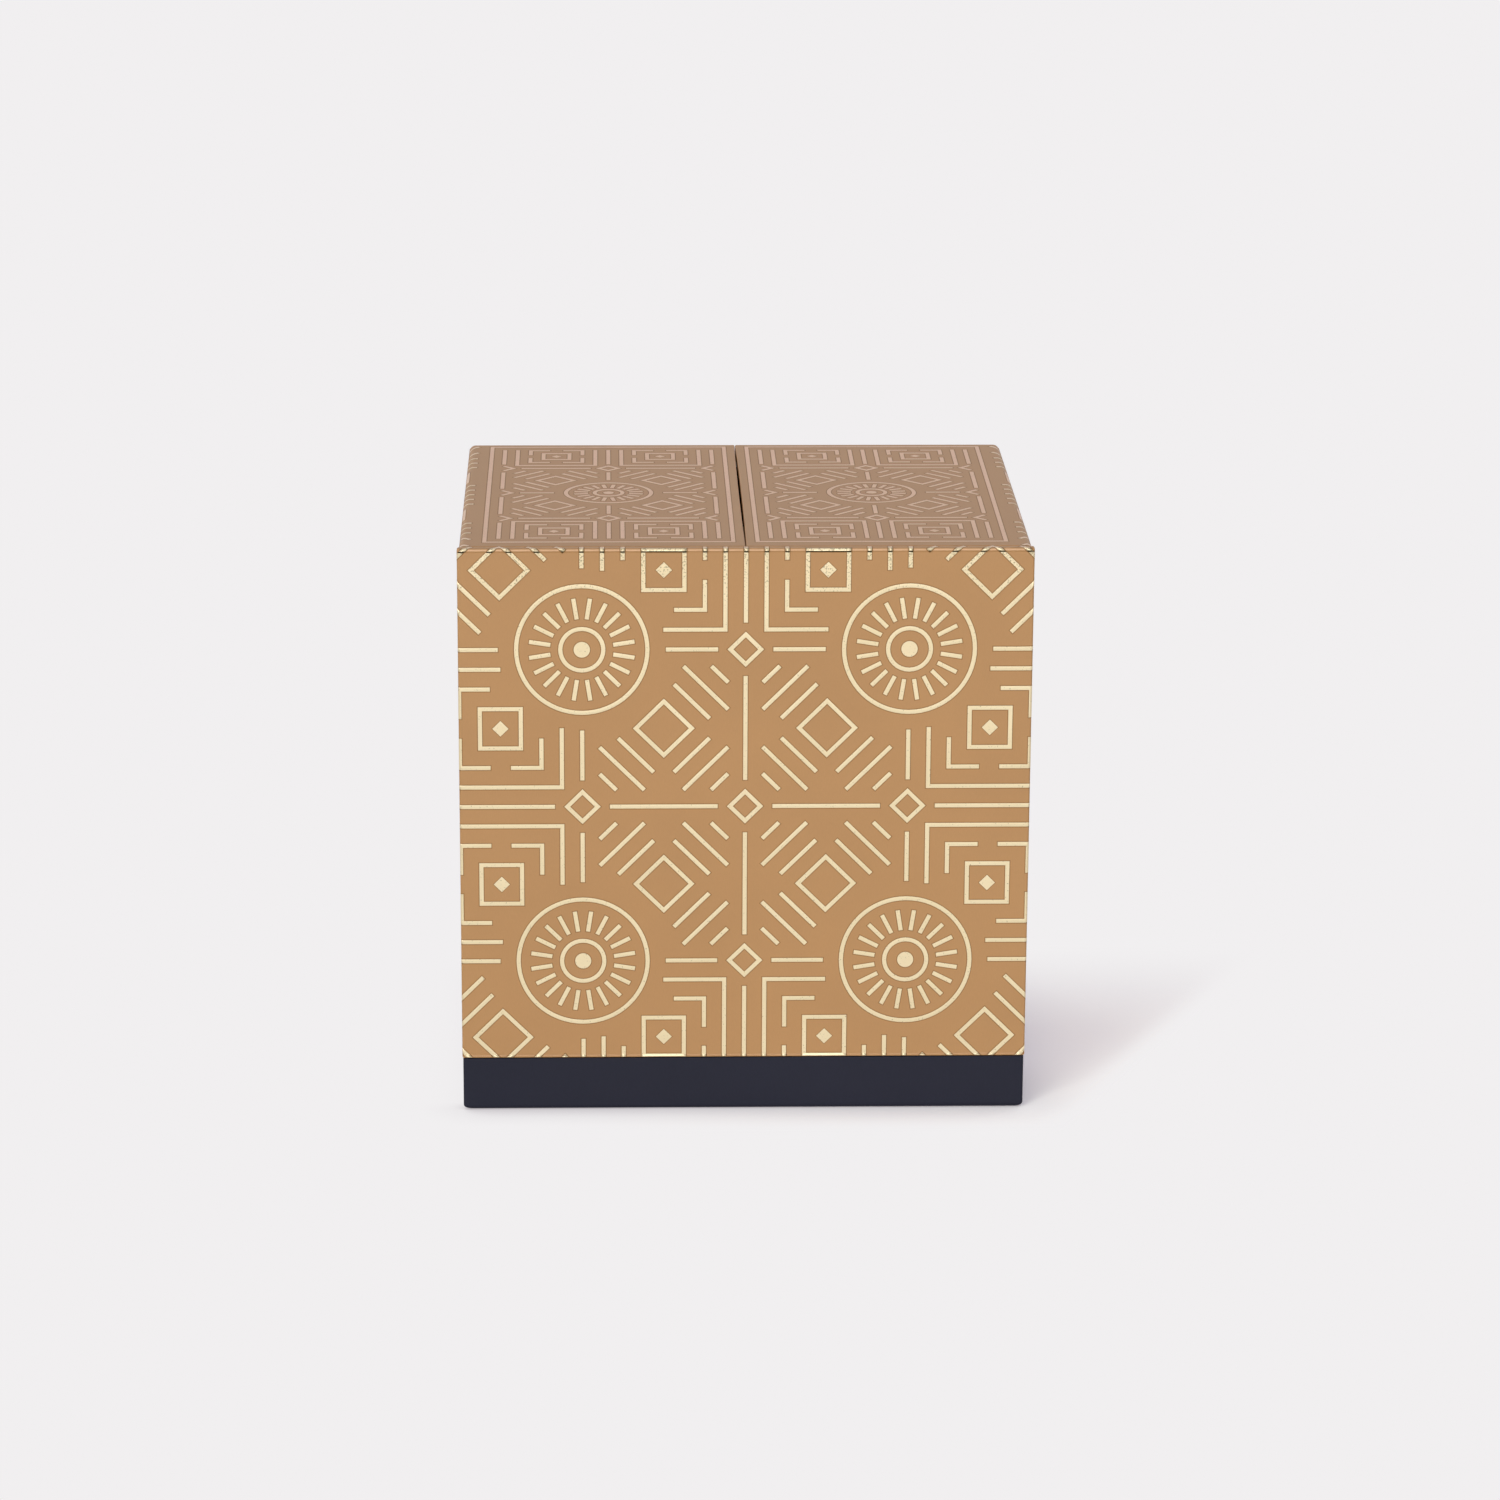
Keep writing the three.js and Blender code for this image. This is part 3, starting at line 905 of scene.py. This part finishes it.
def stamp(name, design, shape, place, foil_paper, body):
    """Foil strokes and the painted shade of the pressed paper round them, on a surface that place()
    gives.
    """
    lay(f"{name}_pressed_shade", shape(strokes(design, GROOVE_SHADE_EDGE)), place, GROOVE_SHADE_PROUD, GROOVE_SHADE_PAPER,
        body)
    lay(name, shape(strokes(design)), place, FOIL_PROUD, foil_paper, body)


def lay(name, polygons, place, proud, material, body):
    """A thin closed sheet along a surface: place() gives the point and normal of (u, v)."""
    index, spots, faces = {}, [], []
    for polygon in polygons:
        face = []
        for u, v in polygon:
            key = (round(u, SPOT_DIGITS), round(v, SPOT_DIGITS))
            if key not in index:
                index[key] = len(spots)
                spots.append((u, v))
            if not face or face[-1] != index[key]:
                face.append(index[key])
        if face[0] == face[-1]:
            face.pop()
        if len(face) > 2 and len(set(face)) == len(face):
            faces.append(face)
    used = {(a, b) for face in faces for a, b in zip(face, face[1:] + face[:1])}
    placed = [place(u, v) for u, v in spots]
    points = [tuple(p[c] + proud * n[c] for c in range(3)) for p, n in placed]
    points += [tuple(p[c] - FOIL_SUNK * n[c] for c in range(3)) for p, n in placed]
    count = len(spots)
    walls = [(a, b, b + count, a + count) for (a, b) in used if (b, a) not in used]
    solid = faces + [[i + count for i in reversed(face)] for face in faces] + sorted(walls)
    return make(name, points, solid, material, body)


def fold(s, edge, radius):
    """A sheet that runs to an edge and over it: how far along, how far back, turned by."""
    run = s - (edge - radius)
    if run <= 0:
        return s, 0.0, 0.0
    if run < radius * math.pi / 2:
        a = run / radius
        return edge - radius + radius * math.sin(a), radius * (1 - math.cos(a)), a
    return edge, radius + run - radius * math.pi / 2, math.pi / 2


def fold_cuts(edge, radius, steps):
    return [edge - radius + radius * math.pi / 2 * k / steps for k in range(steps + 1)]


MIDDLE_HEIGHT = (WALL_BOTTOM + TOP) / 2


# Front: over the top fold on to the rim, and round the upright edges
FACE_PATH = panel_face()
FACE_PATH.append((FACE_PATH[-1][0] + RIM_FLAT, FACE_PATH[-1][1] + RIM_FLAT, TOP, math.pi / 2))


def on_front(u, v):
    across, back, turn = fold(abs(u), HALF_WIDTH, PANEL_END)
    sign = 1 if u >= 0 else -1
    after = next((k for k, spot in enumerate(FACE_PATH) if spot[0] > v), len(FACE_PATH) - 1)
    a, b = FACE_PATH[max(after - 1, 0)], FACE_PATH[after]
    t = (v - a[0]) / (b[0] - a[0])
    depth, height, lean = (a[c] + t * (b[c] - a[c]) for c in (1, 2, 3))
    normal = (sign * math.sin(turn), -math.cos(turn) * math.cos(lean),
              math.cos(turn) * math.sin(lean))
    return (sign * across, depth + back, height), normal


def front_shape(polygons):
    upright = fold_cuts(HALF_WIDTH, PANEL_END, END_TURN)
    polygons = split(polygons, 0, upright + [-c for c in upright])
    polygons = split(polygons, 1, [spot[0] for spot in FACE_PATH[1:-1]])
    polygons = crop(polygons, 1, WALL_BOTTOM + FRONT_FOIL_FOOT, False)
    corner = HALF_WIDTH - PANEL_END
    return [p for p in polygons if abs(sum(u for u, _ in p)) < corner * len(p)
            or sum(v for _, v in p) < (TOP - PANEL_FOLD) * len(p)]


window = (-HALF_WIDTH - FRONT_FOIL_ROUND, HALF_WIDTH + FRONT_FOIL_ROUND, WALL_BOTTOM - PAST,
          FACE_PATH[-1][0] - RIM_BARE)
front_design = lattice(window, (0, MIDDLE_HEIGHT), PITCH, 1)
stamp("front_foil", front_design, front_shape, on_front, WALL_FOIL, "case")


# Painted highlight: the paper along the top fold is paler and glossier. Painted dark reflection on
# the foil just below it
def painted_fold_light():
    half = HALF_WIDTH - PANEL_END
    ends = [-half + 2 * half * k / FOLD_HIGHLIGHT_STEPS for k in range(FOLD_HIGHLIGHT_STEPS + 1)]
    strip = [oblong(a, b, FOLD_HIGHLIGHT_LOW, FOLD_HIGHLIGHT_HIGH) for a, b in zip(ends, ends[1:])]
    lay("front_fold_painted_highlight", front_shape(strip), on_front, FOLD_HIGHLIGHT_PROUD, FOLD_HIGHLIGHT_PAPER, "case")
    dark_band = crop(front_shape(strokes(front_design)), 1, FOLD_HIGHLIGHT_LOW - DARK_REFLECTION_REACH, False)
    dark_band = crop(dark_band, 1, FOLD_HIGHLIGHT_LOW - DARK_REFLECTION_GAP, True)
    lay("front_foil_painted_dark_reflection", dark_band, on_front, DARK_REFLECTION_PROUD, FOIL_DARK_REFLECTION, "case")


painted_fold_light()


# Rear: round the rounded corners to the sides
def on_rear(u, v):
    across, back, turn = fold(abs(u), SIDE_FACE, REAR_CORNER)
    sign = 1 if u >= 0 else -1
    return (-sign * across, REAR - back, v), (-sign * math.sin(turn), math.cos(turn), 0)


def wall_shape(polygons):
    polygons = crop(polygons, 1, WALL_BOTTOM + WALL_EDGE, False)
    return crop(polygons, 1, WALL_TOP - WALL_EDGE, True)


def rear_shape(polygons):
    corner = fold_cuts(SIDE_FACE, REAR_CORNER, CORNER_TURN)
    return split(wall_shape(polygons), 0, corner + [-c for c in corner])


window = (-SIDE_FACE - REAR_FOIL_ROUND, SIDE_FACE + REAR_FOIL_ROUND, WALL_BOTTOM - PAST,
          WALL_TOP + PAST)
stamp("rear_foil", lattice(window, (0, MIDDLE_HEIGHT), PITCH, 1), rear_shape, on_rear,
      WALL_FOIL, "case")


# Sides: up the wall, and on over the leaf's rounded end
def side_foil(side, name):
    def on_wall(u, v):
        return (side * SIDE_FACE, side * u, v), (side, 0, 0)

    def on_leaf(u, v):
        up, back, turn = fold(v, TOP, LEAF_ROUND)
        return ((side * (LEAF_END - back), side * u, up),
                (side * math.cos(turn), 0, math.sin(turn)))

    def leaf_shape(polygons):
        polygons = crop(polygons, 1, LEAF_UNDER + LEAF_FOIL_FOOT, False)
        return split(polygons, 1, fold_cuts(TOP, LEAF_ROUND, FOLD_TURN))

    ends = sorted((side * SIDE_FOIL_FRONT, side * SIDE_FOIL_REAR))
    window = (*ends, WALL_BOTTOM - PAST, TOP + SIDE_FOIL_OVER)
    design = lattice(window, (0, MIDDLE_HEIGHT), PITCH, 0)
    stamp(f"{name}_side_foil", design, wall_shape, on_wall, WALL_FOIL, "case")
    stamp(f"{name}_leaf_end_foil", design, leaf_shape, on_leaf, LEAF_FOIL, f"{name}_leaf")


side_foil(1, "right")
side_foil(-1, "left")


# Leaf tops: a frame line with a finer lattice inside it
def leaf_foil(side, name):
    def on_top(u, v):
        return (side * u, v, TOP), (0, 0, 1)

    def top_shape(polygons):
        return [p[::side] for p in polygons]

    u0, u1, v0, v1 = TOP_FRAME
    pitch = (u1 - u0) / (2 * CELL_PITCHES + 2)
    window = (u0 + pitch, u1 - pitch, v0 + pitch, v1 - pitch)
    centre = ((u0 + u1) / 2, (v0 + v1) / 2)
    lines, dots = lattice(window, centre, pitch, 0)
    design = (lines + [(oblong(*TOP_FRAME), True)], dots)
    stamp(f"{name}_leaf_foil", design, top_shape, on_top, TOP_FOIL_DARKENED, f"{name}_leaf")


leaf_foil(1, "right")
leaf_foil(-1, "left")


# Floor, backdrop colour and lights, in metres
BACKGROUND = (0.879, 0.863, 0.871)
FLOOR_ALBEDO = (0.87, 0.9, 0.77)
FLOOR_LIGHT = 0.585  # what the lamps and the world bring to the bare floor
FLOOR_REACH = 4.0
FLOOR_LEVEL = -0.0001
WORLD_LIGHT = 0.21
WORLD_SLOPE = 0.8    # how much more comes from behind the box than from beside it

# How far each contact shadow reaches, where it starts and ends along Y, and its least share
WASHED_CONTACT = (0.014, -0.058, -0.067, 0.1)
SHADED_CONTACT = (0.035, -0.02, -0.05, 0.3)
CONTACT_TINTS = [(0.0, (0.3, 0.27, 0.295)), (0.5, (0.72, 0.7, 0.72)),
                 (0.75, (0.93, 0.925, 0.93)), (1.0, WHITE)]  # from closed in to open

# Where the cast shadow is kept: soft edges by axis, from unseen to seen. The slanted axis
# follows the shadow's front edge, which runs to the right by SHADOW_SLANT for each step back.
SHADOW_SLANT = 0.5
BESIDE = (("X", -0.08, 0.06), ("Y", 0.085, -0.01), ("Y", -0.085, -0.064), ("slant", 0.134, 0.12))
BEHIND = (("X", -0.087, -0.06), ("X", 0.094, 0.065), ("Y", 0.0, 0.07), ("Y", 0.42, 0.15))


def seen_directly(nodes, links):
    """1 for rays that show the backdrop itself, 0 for the light it gives."""
    path = node(nodes, "ShaderNodeLightPath")
    first = maths(nodes, links, "MAXIMUM", path.outputs["Is Camera Ray"],
                  path.outputs["Is Glossy Ray"])
    return maths(nodes, links, "MAXIMUM", first, path.outputs["Is Transmission Ray"])


def floor_material():
    """Pale sweep. A wash of light leaves the cast shadow only behind the box and on its right."""
    material = bpy.data.materials.new("studio_floor")
    material.use_nodes = True
    nodes, links = material.node_tree.nodes, material.node_tree.links
    nodes.clear()
    seen = seen_directly(nodes, links)
    place = node(nodes, "ShaderNodeSeparateXYZ")
    links.new(node(nodes, "ShaderNodeTexCoord").outputs["Object"], place.inputs[0])

    def glow(colour, distance, start, end, least):
        """Backdrop light that is dimmed where the box touches the floor, most in front."""
        near = node(nodes, "ShaderNodeAmbientOcclusion", Distance=distance)
        contact = ramp(nodes, links, near.outputs["AO"], CONTACT_TINTS)
        share = fade(nodes, links, place.outputs["Y"], start, end, least)
        dimmed = node(nodes, "ShaderNodeMix", data_type="RGBA", blend_type="MULTIPLY")
        links.new(share, dimmed.inputs["Factor"])
        dimmed.inputs["A"].default_value = (*colour, 1)
        links.new(contact, dimmed.inputs["B"])
        made = node(nodes, "ShaderNodeEmission")
        links.new(dimmed.outputs["Result"], made.inputs["Color"])
        return made

    washed = glow(BACKGROUND, *WASHED_CONTACT)
    rest = tuple(c - a * FLOOR_LIGHT for c, a in zip(BACKGROUND, FLOOR_ALBEDO))
    added = glow(rest, *SHADED_CONTACT)
    links.new(seen, added.inputs["Strength"])
    matt = node(nodes, "ShaderNodeBsdfDiffuse", Color=(*FLOOR_ALBEDO, 1))
    lit = nodes.new("ShaderNodeAddShader")
    links.new(matt.outputs[0], lit.inputs[0])
    links.new(added.outputs[0], lit.inputs[1])

    x, y = place.outputs["X"], place.outputs["Y"]
    across = {"X": x, "Y": y, "slant": maths(nodes, links, "MULTIPLY_ADD", y, -SHADOW_SLANT, x)}

    def region(edges):
        """1 inside soft edges, each given by its axis and where it starts and ends."""
        steps = [fade(nodes, links, across[axis], start, end) for axis, start, end in edges]
        inside = steps[0]
        for step in steps[1:]:
            inside = maths(nodes, links, "MULTIPLY", inside, step)
        return inside

    shadow = maths(nodes, links, "MAXIMUM", region(BESIDE), region(BEHIND))
    wash = maths(nodes, links, "SUBTRACT", 1, shadow)
    choose = nodes.new("ShaderNodeMixShader")
    links.new(maths(nodes, links, "MULTIPLY", wash, seen), choose.inputs[0])
    links.new(lit.outputs[0], choose.inputs[1])
    links.new(washed.outputs[0], choose.inputs[2])
    out = nodes.new("ShaderNodeOutputMaterial")
    links.new(choose.outputs[0], out.inputs["Surface"])
    return material


def studio_floor():
    mesh = bpy.data.meshes.new("floor")
    corners = oblong(-FLOOR_REACH, FLOOR_REACH, -FLOOR_REACH, FLOOR_REACH)
    mesh.from_pydata([(x, y, FLOOR_LEVEL) for x, y in corners], [], [(0, 1, 2, 3)])
    mesh.materials.append(floor_material())
    floor = bpy.data.objects.new("floor", mesh)
    bpy.context.scene.collection.objects.link(floor)


def studio_world():
    """An even light that the camera and reflections see as the backdrop's colour."""
    world = bpy.data.worlds.new("studio")
    bpy.context.scene.world = world
    world.use_nodes = True
    nodes, links = world.node_tree.nodes, world.node_tree.links
    nodes.clear()
    shown = node(nodes, "ShaderNodeBackground", Color=(*BACKGROUND, 1))
    light = node(nodes, "ShaderNodeBackground", Color=(1, 1, 1, 1))
    towards = node(nodes, "ShaderNodeSeparateXYZ")
    links.new(node(nodes, "ShaderNodeTexCoord").outputs["Generated"], towards.inputs[0])
    strength = maths(nodes, links, "MULTIPLY_ADD", towards.outputs["Y"],
                     WORLD_LIGHT * WORLD_SLOPE, WORLD_LIGHT)
    links.new(strength, light.inputs["Strength"])
    choose = nodes.new("ShaderNodeMixShader")
    links.new(seen_directly(nodes, links), choose.inputs[0])
    links.new(light.outputs[0], choose.inputs[1])
    links.new(shown.outputs[0], choose.inputs[2])
    out = nodes.new("ShaderNodeOutputWorld")
    links.new(choose.outputs[0], out.inputs["Surface"])


def sun(name, azimuth, elevation, share, spread, glossy=True):
    """A lamp by its share of white; its azimuth is to the left (-) or right of the front."""
    data = bpy.data.lights.new(name, "SUN")
    data.energy = math.pi * share
    data.angle = math.radians(spread)
    lamp = bpy.data.objects.new(name, data)
    a, e = math.radians(azimuth), math.radians(elevation)
    towards = Vector((math.sin(a) * math.cos(e), -math.cos(a) * math.cos(e), math.sin(e)))
    lamp.rotation_mode = "QUATERNION"
    lamp.rotation_quaternion = towards.to_track_quat("Z", "Y")
    lamp.visible_glossy = glossy
    bpy.context.scene.collection.objects.link(lamp)


studio_floor()
studio_world()
sun("key", azimuth=-34, elevation=36, share=0.31, spread=19)
sun("fill", azimuth=-5, elevation=15, share=0.498, spread=40)
sun("rear_right", azimuth=125, elevation=8, share=0.2, spread=16, glossy=False)
sun("rear_left", azimuth=-150, elevation=8, share=0.14, spread=16, glossy=False)

# Camera at the photograph's viewing angle, in metres and degrees
CAMERA_PLACE = (-0.0404, -1.4808, 0.5259)
CAMERA_DOWN = 16.37
CAMERA_TURN = -1.69
CAMERA_ROLL = 0.29
CAMERA_LENS = 122.8
SENSOR_WIDTH = 36

camera_data = bpy.data.cameras.new("camera")
camera_data.lens = CAMERA_LENS
camera_data.sensor_width = SENSOR_WIDTH
camera = bpy.data.objects.new("camera", camera_data)
camera.location = CAMERA_PLACE
pitch, turn, roll = (math.radians(a) for a in (90 - CAMERA_DOWN, CAMERA_TURN, CAMERA_ROLL))
looking = Matrix.Rotation(turn, 3, "Z") @ Matrix.Rotation(pitch, 3, "X")
camera.rotation_euler = (looking @ Matrix.Rotation(roll, 3, "Z")).to_euler()
bpy.context.scene.collection.objects.link(camera)
bpy.context.scene.camera = camera
bpy.context.scene.view_settings.view_transform = "Standard"

bpy.context.view_layer.update()
